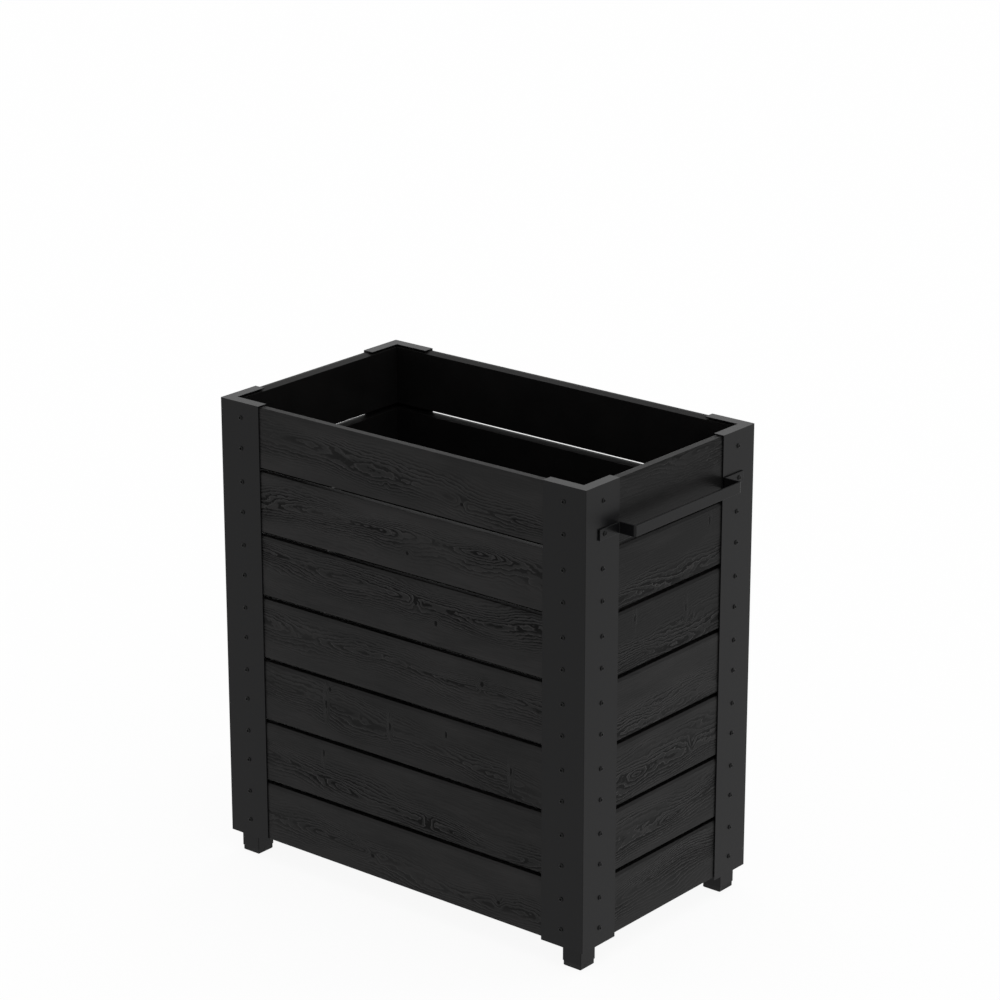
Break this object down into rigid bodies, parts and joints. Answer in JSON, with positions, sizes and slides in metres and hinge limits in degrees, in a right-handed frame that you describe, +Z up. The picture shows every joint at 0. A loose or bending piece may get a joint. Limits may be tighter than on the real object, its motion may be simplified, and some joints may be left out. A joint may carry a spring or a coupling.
{
  "type": "raised planter box",
  "caption": "Tall slatted planter box: black stained boards screwed between steel angle corner posts, short square feet, a slatted floor and a flat strap handle on one end.",
  "frame": {"origin": "on the floor, in the middle of the overall footprint, the end handle included", "axes": "+X along the box towards the end with the handle, +Y from the long front to the long back, +Z up"},
  "size_m": [0.785, 0.436, 0.8],
  "materials": {
    "stained_boards": "matt stain over brushed grain",
    "floor_timber": "matt stain",
    "coated_steel": "matt powder coat",
    "black_screws": "satin black",
    "foot_plastic": "matt"
  },
  "bodies": {
    "root": {"post_front_left": "coated_steel", "post_front_right": "coated_steel", "post_back_left": "coated_steel", "post_back_right": "coated_steel", "foot_front_left": "coated_steel", "foot_front_right": "coated_steel", "foot_back_left": "coated_steel", "foot_back_right": "coated_steel", "pad_front_left": "foot_plastic", "pad_front_right": "foot_plastic", "pad_back_left": "foot_plastic", "pad_back_right": "foot_plastic", "board_front_1": "stained_boards", "board_front_2": "stained_boards", "board_front_3": "stained_boards", "board_front_4": "stained_boards", "board_front_5": "stained_boards", "board_front_6": "stained_boards", "board_front_7": "stained_boards", "board_back_1": "stained_boards", "board_back_2": "stained_boards", "board_back_3": "stained_boards", "board_back_4": "stained_boards", "board_back_5": "stained_boards", "board_back_6": "stained_boards", "board_back_7": "stained_boards", "board_left_1": "stained_boards", "board_left_2": "stained_boards", "board_left_3": "stained_boards", "board_left_4": "stained_boards", "board_left_5": "stained_boards", "board_left_6": "stained_boards", "board_left_7": "stained_boards", "board_right_1": "stained_boards", "board_right_2": "stained_boards", "board_right_3": "stained_boards", "board_right_4": "stained_boards", "board_right_5": "stained_boards", "board_right_6": "stained_boards", "board_right_7": "stained_boards", "bearer_front": "floor_timber", "bearer_back": "floor_timber", "slat_1": "floor_timber", "slat_2": "floor_timber", "slat_3": "floor_timber", "slat_4": "floor_timber", "slat_5": "floor_timber", "slat_6": "floor_timber", "slat_7": "floor_timber", "handle": "coated_steel", "screws_front_left": "black_screws", "screws_front_right": "black_screws", "screws_back_left": "black_screws", "screws_back_right": "black_screws", "screws_handle": "black_screws", "screws_bearers": "black_screws", "screws_slats": "black_screws"}
  },
  "joints": []
}
